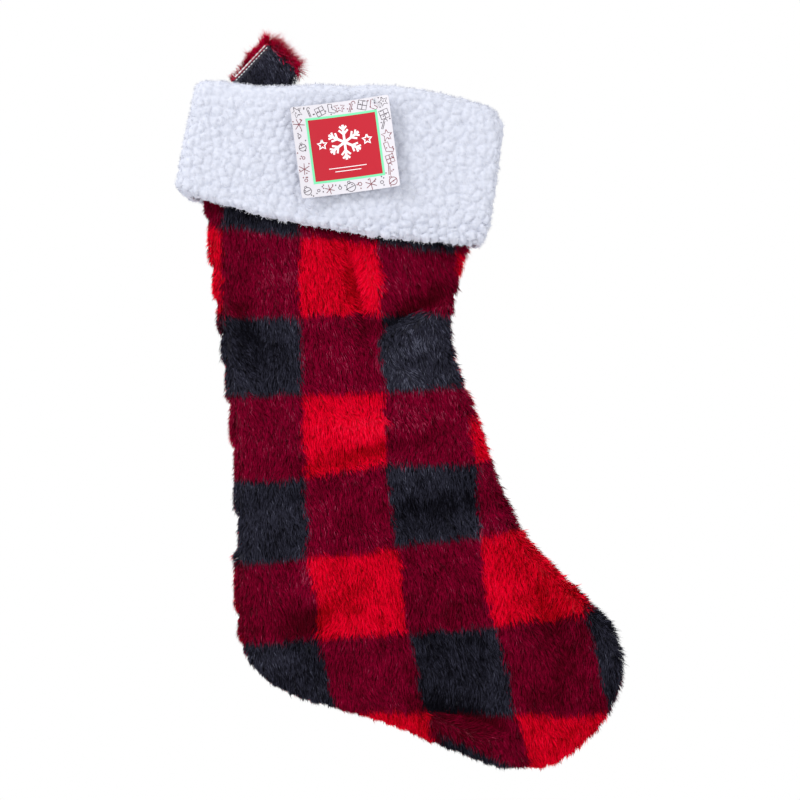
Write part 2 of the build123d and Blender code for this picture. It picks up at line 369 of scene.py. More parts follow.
def scatter(piece, per_m2, rng):
    """Random points on a mesh's surface, with their normals."""
    mesh = piece.data
    mesh.calc_loop_triangles()
    corners = np.zeros(len(mesh.loop_triangles) * 3, np.int32)
    mesh.loop_triangles.foreach_get("vertices", corners)
    corners = corners.reshape(-1, 3)
    points, normals = points_of(piece), normals_of(piece)
    a, b, c = (points[corners[:, n]] for n in range(3))
    areas = np.linalg.norm(np.cross(b - a, c - a), axis=1) / 2
    count = int(areas.sum() * per_m2)
    chosen = rng.choice(len(corners), count, p=areas / areas.sum())
    u, v = rng.random((2, count))
    folded = u + v > 1
    u, v = np.where(folded, 1 - u, u), np.where(folded, 1 - v, v)
    shares = np.stack([1 - u - v, u, v], axis=1)[:, :, None]
    picked = corners[chosen]
    return (points[picked] * shares).sum(1), unit((normals[picked] * shares).sum(1))


# ==================== pile

def strands(name, roots, normals, comb, long, wide, lean, shades, rng, painted_light_and_tone_shift=0.0):
    """Flat tapering hairs in two spans that lean over towards comb, as one mesh in three or more shades.
    The last argument carries painted light and shade and an even darkening: it turns them towards their
    lighter shades where it is positive."""
    count = len(roots)
    along = unit(comb - normals * (comb * normals).sum(1, keepdims=True))
    spans = []
    for angle, share in zip(lean, SPAN_SHARES, strict=True):
        turn = np.radians(angle) * (1 + 0.14 * rng.standard_normal(count))[:, None]
        spans.append((normals * np.cos(turn) + along * np.sin(turn)) * (long * share)[:, None])
    middle = roots + spans[0]
    tip = middle + spans[1]
    turned = rng.uniform(-0.5, 0.5, count)[:, None]
    across = unit(np.cross(normals, along) * np.cos(turned) + normals * np.sin(turned))
    half = across * (wide / 2)[:, None]
    waist = half * WAIST
    points = np.stack([roots - half, roots + half, middle - waist, middle + waist, tip], axis=1)
    mesh = bpy.data.meshes.new(name)
    mesh.vertices.add(count * 5)
    mesh.vertices.foreach_set("co", points.ravel())
    first = np.arange(count)[:, None] * 5
    corners = first + np.array([0, 1, 3, 2, 2, 3, 4])
    mesh.loops.add(count * 7)
    mesh.loops.foreach_set("vertex_index", corners.ravel().astype(np.int32))
    mesh.polygons.add(count * 2)
    starts = np.arange(count)[:, None] * 7 + np.array([0, 4])
    mesh.polygons.foreach_set("loop_start", starts.ravel().astype(np.int32))
    level = FINE_LEVEL[0] * drift(roots, FINE_LEVEL[1], 3)
    level = level + BROAD_LEVEL[0] * drift(roots, BROAD_LEVEL[1], 4)
    # the last argument adds painted light and shade to each hair's level
    level = level + OWN_LEVEL * rng.standard_normal(count) + painted_light_and_tone_shift
    low = np.digitize(level, LOW_STEPS[:len(shades) - 2])
    high = np.digitize(level, HIGH_STEPS[:len(shades) - 1])
    for shade in shades:
        mesh.materials.append(shade)
    picks = np.stack([low, high], axis=1).ravel()
    mesh.polygons.foreach_set("material_index", picks.astype(np.int32))
    mesh.update(calc_edges=True)
    piece = bpy.data.objects.new(name, mesh)
    bpy.context.collection.objects.link(piece)
    return smooth(piece)


def combed(roots, down, seed, tuft_pull=0.2):
    """The way the pile lies: mostly down, in tufts that turn a little and draw together at their tips."""
    none = np.zeros(len(roots))
    sway = np.stack([drift(roots, 22 * MM, seed), drift(roots, 22 * MM, seed + 1) * 0.5, none], axis=1)
    _, _, offset, _ = nearest_centre(roots, TUFT, seed + 2)
    fine = np.stack([drift(roots, 3 * MM, seed + 7), none, drift(roots, 3 * MM, seed + 8)], axis=1)
    return unit(down + sway * 0.45 + offset / TUFT * tuft_pull + fine * 0.5)


def steps_past(values, lines):
    """How many checks each value is past the first of the rising or falling lines."""
    return sum(share_of(values, a, b) for a, b in itertools.pairwise(lines))


def check_kind(points, side):
    """Which check each point is in: red, crimson or charcoal."""
    x, z = points[:, 0], points[:, 2]
    bend = FOOT_BEND * np.maximum(FOOT_Z - z, 0) ** 2
    pinch = COLUMN_PINCH * share_of(z, PINCH_Z[1], PINCH_Z[0])
    across, down = x - bend, z
    if side == BACK:
        across, down = across + BACK_SHIFT[0], down - BACK_SHIFT[1]
    else:
        across = np.where(across > PIVOT_X, PIVOT_X + (across - PIVOT_X) / (1 - pinch), across)
    rows = [line * MM + slope * (x - PIVOT_X) for line, slope in zip(ROW_LINES, ROW_SLOPES, strict=True)]
    wobble = FINE_WOBBLE[0] * drift(points, FINE_WOBBLE[1], 5)
    wobble = wobble + BROAD_WOBBLE[0] * drift(points, BROAD_WOBBLE[1], 6)
    column = steps_past(across, [line * MM for line in COLUMN_LINES]) + wobble
    row = steps_past(down, rows) + wobble
    dark_column = np.floor(column) % 2 == 1
    dark_row = np.floor(row) % 2 == 0
    if side == FRONT:
        sole = (x > SOLE_PATCH[0]) & (z < SOLE_PATCH_Z - SOLE_PATCH_SLOPE * (x - SOLE_PATCH[0]))
        sole &= x < SOLE_PATCH[1]
        dark_row, dark_column = dark_row | sole, dark_column | sole
    return np.where(dark_column & dark_row, CHARCOAL, np.where(dark_column | dark_row, CRIMSON, RED))


# ==================== panels

def under_fold(x, z):
    """Height above the cuff's fold line; negative under it."""
    return z - FOLD_Z - FOLD_SLOPE * x


def seen_mask(node, side, xs, zs):
    """Which grid points lie behind the node's outer face."""
    tree = tree_of(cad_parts[node])
    ahead = Vector((0, -side, 0))
    hits = [[tree.ray_cast(Vector((x, side, z)), ahead)[0] is not None for z in zs] for x in xs]
    return np.array(hits)


def bloat(mask):
    """A filled bag's rise over a grid: an evenly loaded skin held at the mask's edge, from 0 to 1."""
    rise = np.zeros(mask.shape)
    for _ in range(BLOAT_STEPS):
        around = np.roll(rise, 1, 0) + np.roll(rise, -1, 0) + np.roll(rise, 1, 1) + np.roll(rise, -1, 1)
        rise = (around / 4 + 1) * mask
    return (rise / rise.max()) ** BLOAT_CURVE


def fold_relief(x, z):
    """Height of the creases and soft ridges in the cloth."""
    relief = np.zeros_like(x)
    for (x0, z0), (x1, z1), wide, high in FOLDS:
        start, run = np.array([x0, z0]) * MM, np.array([x1 - x0, z1 - z0]) * MM
        share = np.clip(((x - start[0]) * run[0] + (z - start[1]) * run[1]) / (run @ run), 0, 1)
        far = np.hypot(x - start[0] - share * run[0], z - start[1] - share * run[1])
        ends = np.sin(np.pi * np.clip(share, 0.08, 0.92))
        relief += FOLD_GROWTH * high * MM * ends * np.exp(-((far / (wide * MM)) ** 2))
    return relief


def fold_slope(x, z, way):
    """How much the folds rise towards the given way, in X and Z, across twice FOLD_REACH."""
    step_x, step_z = way[0] * FOLD_REACH, way[1] * FOLD_REACH
    return fold_relief(x + step_x, z + step_z) - fold_relief(x - step_x, z - step_z)


def leg_mask(seen, zs):
    """The panel's outline with its top run straight on, as if there were no cuff."""
    mask = seen.copy()
    cuffed = zs > UNDER_CUFF_Z
    last = np.flatnonzero(~cuffed)[-1]
    mask[:, cuffed] = seen[:, last][:, None]
    mask[:, -1] = mask[:, -2] = mask[:, -3]
    return mask


def cloth_depth(mask, grid_x, grid_z):
    """How far the cloth lies from the seam plane: round and folded on the leg, boxed above."""
    rise = bloat(mask)
    depth = BLOAT * rise + fold_relief(grid_x, grid_z) * np.clip(rise * 1.6 - 0.5, 0, 1)
    from_side = np.minimum(mask.cumsum(0), mask[::-1].cumsum(0)[::-1]) * CELL
    boxed = TOP_DEPTH * share_of(from_side, 0, TOP_WALL) ** 0.5
    topness = share_of(under_fold(grid_x, grid_z), TOP_REACH[1], TOP_REACH[0])
    return np.maximum(depth * (1 - topness) + boxed * topness, CLOTH_LEAST)


def panel_cloth(side, grounds):
    """One panel's cloth: a bloated sheet inside the CAD panel, with folds, coloured check by check."""
    name = SIDES[side]
    node = f"{name}_panel"
    low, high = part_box(node)
    xs = np.arange(low.x - CELL, high.x + 2 * CELL, CELL)
    zs = np.arange(low.z - CELL, high.z + 2 * CELL, CELL)
    seen = seen_mask(node, side, xs, zs)
    mask = leg_mask(seen, zs)
    kept = mask & seen
    grid_x, grid_z = np.meshgrid(xs, zs, indexing="ij")
    depth = cloth_depth(mask, grid_x, grid_z)
    index = np.full(kept.shape, -1)
    index[kept] = np.arange(kept.sum())
    points = np.stack([grid_x[kept], side * depth[kept], grid_z[kept]], axis=1)
    corners = np.stack([index[:-1, :-1], index[1:, :-1], index[1:, 1:], index[:-1, 1:]], axis=-1)
    corners = corners.reshape(-1, 4)
    corners = corners[(corners >= 0).all(1)]
    if side == BACK:
        corners = corners[:, ::-1]
    kinds = check_kind(points[corners].mean(1), side)
    own_grounds = [grounds[kind] for kind in PANEL_KINDS]
    piece = show(f"{name}_panel_cloth", points, corners.tolist(), own_grounds, kinds)
    smooth_rim(piece, side)
    thick = piece.modifiers.new("backing", "SOLIDIFY")
    thick.thickness = BACKING
    thick.offset = -1.0
    return smooth(piece)


def smooth_rim(piece, side):
    """Takes the grid's steps out of the sheet's edge and brings it to the seam plane, but for its top."""
    work = bmesh.new()
    work.from_mesh(piece.data)
    rim = [v for v in work.verts if v.is_boundary]
    near = set(rim)
    for v in rim:
        near.update(e.other_vert(v) for e in v.link_edges)
    for _ in range(4):
        bmesh.ops.smooth_vert(work, verts=list(near), factor=0.5, use_axis_x=True, use_axis_z=True)
    for v in rim:
        if under_fold(v.co.x, v.co.z) < RIM_END:
            v.co.y = side * RIM_Y
    loose = [v for v in work.verts if not v.link_faces]
    bmesh.ops.delete(work, geom=loose, context="VERTS")
    work.to_mesh(piece.data)
    work.free()
    piece.data.update()


def panel_pile(cloth, side, shades):
    """The panel's fur, one mesh of hairs for each check colour."""
    rng = np.random.default_rng(PILE_SEEDS[side])
    roots, normals = scatter(cloth, PILE_PER_M2, rng)
    outer = (side * normals[:, 1] > -0.3) & (under_fold(roots[:, 0], roots[:, 2]) < PILE_START)
    roots, normals = roots[outer], normals[outer]
    strayed = roots + rng.normal(0, EDGE_BLUR, roots.shape) * np.array([1, 0, 1])
    kinds = check_kind(strayed, side)
    x, z = roots[:, 0], roots[:, 2]
    comb = combed(roots, np.array(PILE_WAY), 40 + side)
    rim = np.clip((0.75 - side * normals[:, 1]) / 0.4, 0, 1)
    comb[:, 1] -= side * rim * rng.uniform(-0.3, 1.3, len(roots))
    comb[:, 0] -= fold_slope(x, z, (1, 0)) / FOLD_REACH
    comb[:, 2] -= fold_slope(x, z, (0, 1)) / FOLD_REACH
    long = PILE_LONG * (1 + 0.16 * rng.standard_normal(len(roots)) + 0.14 * drift(roots, 18 * MM, 61))
    long = np.clip(long, 0.4 * PILE_LONG, 1.5 * PILE_LONG)
    wide = PILE_WIDE * rng.uniform(0.7, 1.3, len(roots)) * (1 + RIM_THICKER * rim)
    pressed = np.clip(-0.7 * normals[:, 0] - 0.9 * normals[:, 2], 0, 1)
    long = long * (1 + RIM_LONGER * rim) * (1 - SOLE_PRESSED * pressed)
    # painted light and shade: lighter pile shades on fold ridges and on sides facing LIGHT_SIDE, darker in
    # creases and on the far sides
    painted_light_and_tone_shift = (fold_relief(x, z) - fold_slope(x, z, LIGHT_SIDE)) / FOLD_SHADE
    # painted shade on the foot, and an even darkening of all the pile
    painted_light_and_tone_shift -= FOOT_PAINTED_SHADE * np.clip((FOOT_Z - z) / FOOT_FADE, 0, 1) + ALL_DARKER
    pieces = []
    for kind in PANEL_KINDS:
        own = kinds == kind
        name = f"{SIDES[side]}_panel_{SHADE_NAMES[kind]}_pile"
        hairs = (roots[own], normals[own], comb[own], long[own], wide[own])
        pieces.append(strands(name, *hairs, PILE_LEAN, shades[kind], rng, painted_light_and_tone_shift[own]))
    return pieces


# ==================== cuff

BOBBLE = 6.9 * MM
CUFF_VOXEL = 0.9 * MM
CUFF_DEEP = 26 * MM           # from the seam plane to the flap's outer face
FLAP_FROM = (15 * MM, 20 * MM)      # from the seam plane, where the flap begins and where it is all flap
FACING = (5 * MM, 9 * MM)     # and where the facing inside the mouth lies
LEFT_TUCK = 4 * MM            # the cuff's heel-side edge is pulled in,
TUCK_X = (-25 * MM, -60 * MM)       # from here on
HEM_LIFT = 5 * MM             # the hem is pulled up at the toe's side
TOP_LIFT = 5 * MM             # the fold's crown stands up this much at the toe's side
LIFT_X = (50 * MM, 160 * MM)        # between these
LOOP_DIP = 3.5 * MM           # and sinks this much where the loop comes out
DIP_X = (-42 * MM, 28 * MM)         # between these
SEAM_CLEAR = 2.2 * MM         # the clumps stay this far from the end seams
CLUMP_HIGH = 2.3 * MM
CURL_HIGH = 0.5 * MM
CLUMP_SINK = 2.5 * MM         # the clumps' feet lie this far inside the CAD cuff
SWELL = (1.2 * MM, 34 * MM)   # height and size of the sherpa's two soft swells
SMALL_SWELL = (0.5 * MM, 12 * MM)
FUZZ_PER_M2 = 0.8e6
FUZZ_LONG = 2.4 * MM
FUZZ_WIDE = 0.3 * MM
FUZZ_LEAN = (35, 95)          # degrees from upright of a fibre's two spans
FUZZ_FROM = 17 * MM           # from the seam plane, apart from the crown of the fold


def hump(values, reach):
    """1 in the middle of the reach, falling smoothly to 0 at its ends."""
    return np.sin(np.pi * share_of(values, *reach))


def clumped(points, normals, side, low, high):
    """Where the clumps show, where they wrap round the cuff's ends, and the way out at each end."""
    depth = side * points[:, 1]
    outward = np.sign(points[:, 0] - (low.x + high.x) / 2)
    flap = share_of(depth, *FLAP_FROM)
    over = share_of(points[:, 2], high.z - 26 * MM, high.z - 18 * MM) * np.clip(normals[:, 2], 0, 1)
    end = np.clip(outward * normals[:, 0] * 2 - 0.6, 0, 1)
    facing = (depth > FACING[0]) & (depth < FACING[1])
    inside = 0.7 * np.clip(-side * normals[:, 1] * 2 - 0.6, 0, 1) * facing
    clear = share_of(depth, SEAM_CLEAR, SEAM_CLEAR + 3 * MM)
    return np.maximum.reduce([flap, over, end * clear, inside]), end, outward


def clump_relief(points, depth, end, outward):
    """Height of the sherpa's curled clumps: domes with crevices between them, and small curls on them."""
    around = CUFF_DEEP - depth
    across, up = points[:, 0] + outward * around * end, points[:, 2] + around * (1 - end)
    unrolled = np.stack([across, 0 * depth, up], axis=1)
    warp = np.stack([drift(points, 4 * MM, 70 + n) for n in range(3)], axis=1) * 1.5 * MM
    warp[:, 1] = 0
    big, next_big, _, own = nearest_centre(unrolled + warp, BOBBLE, 80, flat=True)
    small, next_small, _, _ = nearest_centre(unrolled - warp, BOBBLE * 0.5, 90, flat=True)
    domes = np.sqrt(np.clip(1 - (big / 0.95) ** 2, 0, 1)) * (0.8 + 0.4 * own)
    caps = domes * (0.4 + 0.6 * np.sqrt(np.clip((next_big - big) / 0.45, 0, 1)))
    curls = np.sqrt(np.clip((next_small - small) / 0.7, 0, 1))
    return CLUMP_HIGH * caps + CURL_HIGH * curls - CLUMP_SINK


def hang(moved, points, low, high):
    """Pulls the moved cuff out of true, as it hangs."""
    x = points[:, 0]
    down = share_of(points[:, 2], high.z, low.z)
    moved[:, 2] += HEM_LIFT * share_of(x, low.x, high.x) ** 3 * down**2
    moved[:, 2] += TOP_LIFT * hump(x, LIFT_X) * np.clip(1 - 1.4 * down, 0, 1)
    moved[:, 2] -= LOOP_DIP * hump(x, DIP_X) * np.clip(1 - 2 * down, 0, 1)
    moved[:, 0] += LEFT_TUCK * share_of(x, *TUCK_X)


def bobbled(piece, side, low, high):
    """Sherpa on the cuff's outer faces, calmer over the fold and fuller at the rolled hem."""
    points, normals = points_of(piece), normals_of(piece)
    bare, end, outward = clumped(points, normals, side, low, high)
    calm = 1 - 0.55 * share_of(points[:, 2], high.z - 20 * MM, high.z - 8 * MM)
    rolled = 1 + 0.7 * share_of(points[:, 2], low.z + 24 * MM, low.z + 14 * MM)
    relief = clump_relief(points, side * points[:, 1], end, outward) * calm * rolled
    soft = SWELL[0] * drift(points, SWELL[1], 75) + SMALL_SWELL[0] * drift(points, SMALL_SWELL[1], 76)
    moved = points + normals * ((relief + soft) * bare)[:, None]
    hang(moved, points, low, high)
    move_points(piece, moved)


def cuff_cloth(side, material):
    """One half of the cuff: flap, fold and facing."""
    name = SIDES[side]
    node = f"cuff_{name}"
    low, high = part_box(node)
    piece = remeshed(node, f"cuff_{name}_sherpa", CUFF_VOXEL, 6)
    bobbled(piece, side, low, high)
    piece.data.materials.append(material)
    return smooth(piece)


def cuff_fuzz(cloth, side, shades):
    """Short curled fibres on the sherpa's outer face, fewer where it faces straight out."""
    rng = np.random.default_rng(FUZZ_SEEDS[side])
    roots, normals = scatter(cloth, FUZZ_PER_M2, rng)
    outer = (side * roots[:, 1] > FUZZ_FROM) | (normals[:, 2] > 0.5)
    outer &= side * normals[:, 1] > -0.3
    outer &= rng.random(len(roots)) < 1.0 - 0.8 * np.abs(normals[:, 1])
    roots, normals = roots[outer], normals[outer]
    turns = unit(np.stack([drift(roots, 2 * MM, 31 + n) for n in range(3)], axis=1) + 0.001)
    long = FUZZ_LONG * rng.uniform(0.6, 1.3, len(roots))
    wide = FUZZ_WIDE * rng.uniform(0.7, 1.3, len(roots))
    return strands(f"cuff_{SIDES[side]}_fuzz", roots, normals, turns, long, wide, FUZZ_LEAN, shades, rng)


# ==================== loop

LEAN = math.radians(45)
DOWN_STRIP = np.array([-math.sin(LEAN), 0, -math.cos(LEAN)])
ACROSS_STRIP = np.array([math.cos(LEAN), 0, -math.sin(LEAN)])
STRIP_HALF = 13.75 * MM
STRIP_VOXEL = 0.9 * MM
STRIP_SINK = 1.6 * MM         # the cloth's outer face lies this far inside the CAD strip
RAW_EDGE_OUT = 2.4 * MM       # and its stitched edge this far outside
RAW_EDGE = -STRIP_HALF - RAW_EDGE_OUT
EYE_INSIDE = 5 * MM           # nearer the eye than this, the bend is the strip's inner face
WINE_BEND = -3 * MM           # the bend is wine from here on, along the strip,
WINE_EDGE = 2.6 * MM          # and so is this much beside the raw edge
SEWN_DOWN = 5 * MM            # the stitches press the pile flat over this much of the front leg
FRINGE_PER_M2 = 9e6
FRINGE_LONG = (4.6, 8.8)      # millimetres, at the raw edge and over the bend
LYING_LONG = 6.8              # millimetres
LOOP_PILE_WIDE = 0.36 * MM
IN_MOUTH = (12 * MM, 21 * MM)       # along the strip, where the cuff presses the pile shorter
LOOP_POSES = {"lying": (34, 66), "standing": (8, 26)}     # degrees from upright of a hair's two spans
# rows of stitches: place across the strip, and each stitch's length, gap and radius
STITCH_ROWS = (
    (-14.4 * MM, 3.2 * MM, 0.2 * MM, 0.5 * MM),
    (-12.4 * MM, 1.5 * MM, 1.0 * MM, 0.4 * MM),
)
STITCHED = (-1 * MM, 29 * MM)       # along the strip


def loop_cloth(grounds):
    """The strip's own cloth, thinner than the CAD strip by its pile."""
    piece = remeshed("loop_strip", "loop_strip_cloth", STRIP_VOXEL, 3)
    points, normals = points_of(piece), normals_of(piece)
    sunk = STRIP_SINK * outward_on_loop(points, normals)
    spread = share_of(-points @ ACROSS_STRIP, 8 * MM, 13 * MM) * RAW_EDGE_OUT
    move_points(piece, points - normals * sunk[:, None] - ACROSS_STRIP * spread[:, None])
    for ground in grounds:
        piece.data.materials.append(ground)
    kinds = [loop_kind(np.array(p.center)[None])[0] for p in piece.data.polygons]
    piece.data.polygons.foreach_set("material_index", np.array(kinds, np.int32))
    return smooth(piece)


def outward_on_loop(points, normals):
    """1 on the strip's furred outer face, 0 on its knitted inner face."""
    away = points[:, 1] * normals[:, 1] > 0
    along = points @ DOWN_STRIP
    bend = (along < 0) & (np.hypot(along, points[:, 1]) > EYE_INSIDE)
    return (away | bend).astype(float)


def loop_kind(points):
    along, across = points @ DOWN_STRIP, points @ ACROSS_STRIP
    fringed = (along < WINE_BEND) | (across < RAW_EDGE + WINE_EDGE)
    return np.where(fringed, WINE, CHARCOAL)


def loop_pile(cloth, shades):
    """Charcoal pile lying on the strip, and a standing wine fringe over the bend and along the raw edge."""
    rng = np.random.default_rng(31)
    roots, normals = scatter(cloth, FRINGE_PER_M2, rng)
    furred = outward_on_loop(roots, normals) > 0
    fringe = normals @ ACROSS_STRIP < -0.5
    upright = fringe | (furred & (normals @ DOWN_STRIP < -0.45))
    pressed = (roots @ ACROSS_STRIP < RAW_EDGE + SEWN_DOWN) & (roots[:, 1] < 0)
    sparse = rng.random(len(roots)) < PILE_PER_M2 / FRINGE_PER_M2
    own = upright | (furred & ~pressed & sparse)
    roots, normals, upright = roots[own], normals[own], upright[own]
    kinds = loop_kind(roots + rng.normal(0, 0.6 * MM, roots.shape))
    comb = combed(roots, np.array([0.3, 0, -0.9]), 90, tuft_pull=0.05)
    over_bend = np.clip(-1.6 * (normals @ DOWN_STRIP), 0, 1)
    spread = unit(normals + rng.normal(0, 0.36, normals.shape) * np.array([1, 0.4, 1]))
    normals = np.where(upright[:, None], spread, normals)
    edge = normals @ ACROSS_STRIP < -0.5
    fringe_long = FRINGE_LONG[0] + (FRINGE_LONG[1] - FRINGE_LONG[0]) * over_bend
    long = np.where(upright, fringe_long, LYING_LONG) * MM
    in_mouth = share_of(roots @ DOWN_STRIP, *IN_MOUTH) * ~edge
    long = long * (1 + 0.2 * rng.standard_normal(len(roots))) * (1 - 0.7 * in_mouth)
    wide = LOOP_PILE_WIDE * rng.uniform(0.7, 1.3, len(roots))
    pieces = []
    for kind, pose in itertools.product((WINE, CHARCOAL), LOOP_POSES):
        part = (kinds == kind) & (upright == (pose == "standing"))
        if part.any():
            name = f"loop_{SHADE_NAMES[kind]}_{pose}_pile"
            hairs = (roots[part], normals[part], comb[part], long[part], wide[part])
            pieces.append(strands(name, *hairs, LOOP_POSES[pose], shades[kind], rng))
    return pieces


# ==================== threads, card and pin

def capsule(start, end, radius, sides=6):
    """Points and faces of one short stitch, rounded at its ends."""
    start, end = np.asarray(start), np.asarray(end)
    run = unit(end - start)
    first = unit(np.cross(run, [0.3, 0.9, 0.2]))
    second = np.cross(run, first)
    rings = [(0.0, 0.35), (0.25, 1.0), (0.75, 1.0), (1.0, 0.35)]
    points, faces = [], []
    for share, size in rings:
        for n in range(sides):
            turn = 2 * math.pi * n / sides
            ring = (first * math.cos(turn) + second * math.sin(turn)) * radius * size
            points.append(start + (end - start) * share + ring)
    for ring in range(len(rings) - 1):
        for n in range(sides):
            here, there = ring * sides, (ring + 1) * sides
            faces.append((here + n, here + (n + 1) % sides, there + (n + 1) % sides, there + n))
    faces.append(tuple(reversed(range(sides))))
    faces.append(tuple(range(len(points) - sides, len(points))))
    return points, faces


def joined(parts):
    """Several (points, faces) as one."""
    points, faces = [], []
    for part_points, part_faces in parts:
        start = len(points)
        points.extend(part_points)
        faces.extend(tuple(start + n for n in face) for face in part_faces)
    return points, faces


def loop_stitches(cloth, material):
    """Two rows of thread beside the raw edge of the strip's front leg."""
    tree = tree_of(cloth)
    parts = []
    for across, long, gap, radius in STITCH_ROWS:
        along = STITCHED[0]
        while along < STITCHED[1]:
            ends = []
            for reach in (along, along + long):
                place = DOWN_STRIP * reach + ACROSS_STRIP * across
                hit = tree.ray_cast(Vector((place[0], -0.05, place[2])), Vector((0, 1, 0)))[0]
                if hit is not None:
                    ends.append(np.array(hit) - np.array([0, radius * 0.7, 0]))
            if len(ends) == 2:
                parts.append(capsule(*ends, radius))
            along += long + gap
    points, faces = joined(parts)
    return smooth(show("loop_edge_stitches", points, faces, [material]))


CARD_TILT = math.radians(7.5)
CARD_HALF = (34 * MM, 31.5 * MM)
PANEL_HALF = (23.2 * MM, 21.2 * MM)
BORDER = 1.5 * MM
PRINT_LIFT = 0.06 * MM        # each layer of print lies this far over the one below
LINE_WIDE = 0.42 * MM
PICTURE_V = 3.5 * MM          # height of the snowflake and the stars over the card's middle
FLAKE_REACH = 12 * MM
FLAKE_WIDE = 1.7 * MM
STAR_U = 15.5 * MM
STAR_RADIUS = 3.4 * MM
STAR_WIDE = 1.1 * MM
RULES = ((-13.6 * MM, 13 * MM), (-16 * MM, 9 * MM))       # height and half length of each rule
RULE_WIDE = 0.5 * MM
DOODLE_SIZE = (6.4, 8.6)      # millimetres
DOT_RADIUS = 0.3 * MM
DOT_WIDE = 0.4 * MM


class Card:
    """Places printed shapes on the CAD card's bowed face. u runs to the right and v up, from its middle."""

    def __init__(self):
        self.low, self.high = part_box("tag_card")
        self.tree = tree_of(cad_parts["tag_card"])

    def place(self, u, v, lift=PRINT_LIFT):
        x = u * math.cos(CARD_TILT) - v * math.sin(CARD_TILT) + (self.low.x + self.high.x) / 2
        z = u * math.sin(CARD_TILT) + v * math.cos(CARD_TILT) + (self.low.z + self.high.z) / 2
        hit = self.tree.ray_cast(Vector((x, self.low.y - 0.02, z)), Vector((0, 1, 0)))[0]
        y = hit.y if hit is not None else self.high.y
        return (x, y - lift, z)

    def area(self, half_u, half_v, lift, step=1.5 * MM):
        """A rectangle laid on the card in small faces."""
        across = np.linspace(-half_u, half_u, int(2 * half_u / step) + 1)
        up = np.linspace(-half_v, half_v, int(2 * half_v / step) + 1)
        points = [self.place(u, v, lift) for v in up for u in across]
        count = len(across)
        faces = []
        for row in range(len(up) - 1):
            for column in range(count - 1):
                first = row * count + column
                faces.append((first, first + 1, first + 1 + count, first + count))
        return points, faces

    def line(self, path, wide, lift):
        """A printed line along a path of (u, v) points, with squared ends."""
        path = [np.array(p, float) for p in path]
        points, faces = [], []
        for n, here in enumerate(path):
            run = unit(path[min(n + 1, len(path) - 1)] - path[max(n - 1, 0)])
            side = np.array([-run[1], run[0]]) * wide / 2
            points.append(self.place(*(here - side), lift))
            points.append(self.place(*(here + side), lift))
            if n:
                faces.append((2 * n - 2, 2 * n - 1, 2 * n + 1, 2 * n))
        return points, [tuple(reversed(face)) for face in faces]


def ring_path(radius, steps=18):
    turns = [2 * math.pi * n / steps for n in range(steps + 1)]
    return [(radius * math.cos(turn), radius * math.sin(turn)) for turn in turns]


def star_path(radius, tips=5):
    reach = [radius if n % 2 == 0 else radius * 0.45 for n in range(2 * tips + 1)]
    turns = [math.pi * n / tips for n in range(2 * tips + 1)]
    return [(r * math.sin(turn), r * math.cos(turn)) for r, turn in zip(reach, turns, strict=True)]


def scaled(path, size):
    return [(size * u, size * v) for u, v in path]


def doodle(kind, size):
    """One small line drawing's paths, about size across."""
    if kind == "star":
        return [star_path(size / 2)]
    if kind == "bauble":
        cap = [(-0.1, 0.36), (-0.1, 0.5), (0.1, 0.5), (0.1, 0.36)]
        band = [(-0.34, 0), (0.34, 0)]
        return [ring_path(size * 0.36), scaled(cap, size), scaled(band, size)]
    if kind == "cane":
        turns = np.linspace(math.pi, 0, 8)
        crook = [(0.16 * math.cos(turn) + 0.02, 0.3 + 0.18 * math.sin(turn)) for turn in turns]
        stem = [(-0.02, -0.5), (-0.02, 0.26)]
        return [scaled([(-0.14, -0.5), *crook], size), scaled(stem, size)]
    if kind == "gift":
        box = [(-1, -1), (1, -1), (1, 1), (-1, 1), (-1, -1)]
        ribbons = [[(0, -1), (0, 1)], [(-1, 0), (1, 0)]]
        return [scaled(path, size * 0.38) for path in [box, *ribbons]]
    if kind == "sock":
        outline = [(-0.5, 1), (0.3, 1), (0.3, -0.1), (1, -0.5), (0.7, -1), (-0.5, -0.6), (-0.5, 1)]
        return [scaled(outline, size * 0.5)]
    if kind == "flake":
        arms = [(math.cos(turn), math.sin(turn)) for turn in (0.3, 1.35, 2.4)]
        return [scaled([(-u, -v), (u, v)], size / 2) for u, v in arms]
    return [ring_path(size * 0.14, 8)]


def card_doodles(card):
    """Small seasonal line drawings round the card's margin, in two inks."""
    rng = np.random.default_rng(41)
    kinds = ("star", "bauble", "cane", "dot", "gift", "flake", "sock", "dot")
    middle_u = (CARD_HALF[0] + PANEL_HALF[0] + BORDER) / 2
    middle_v = (CARD_HALF[1] + PANEL_HALF[1] + BORDER) / 2
    places = []
    for u in np.linspace(-middle_u, middle_u, 9):
        places += [(u, middle_v), (u, -middle_v)]
    for v in np.linspace(-middle_v, middle_v, 8)[1:-1]:
        places += [(middle_u, v), (-middle_u, v)]
    parts = {"maroon": [], "grey": []}
    for n, (u, v) in enumerate(places):
        turn = rng.uniform(-0.5, 0.5)
        size = rng.uniform(*DOODLE_SIZE) * MM
        shift = rng.uniform(-0.8, 0.8, 2) * MM
        ink = "maroon" if rng.random() < 0.62 else "grey"
        for path in doodle(kinds[n % len(kinds)], size):
            turned = [
                (a * math.cos(turn) - b * math.sin(turn), a * math.sin(turn) + b * math.cos(turn))
                for a, b in path
            ]
            placed = [(u + shift[0] + a, v + shift[1] + b) for a, b in turned]
            parts[ink].append(card.line(placed, LINE_WIDE, PRINT_LIFT))
        for _ in range(3):
            dot_u, dot_v = u + rng.uniform(-4, 4) * MM, v + rng.uniform(-4, 4) * MM
            dot = [(dot_u + a, dot_v + b) for a, b in ring_path(DOT_RADIUS, 6)]
            parts[ink].append(card.line(dot, DOT_WIDE, PRINT_LIFT))
    return parts


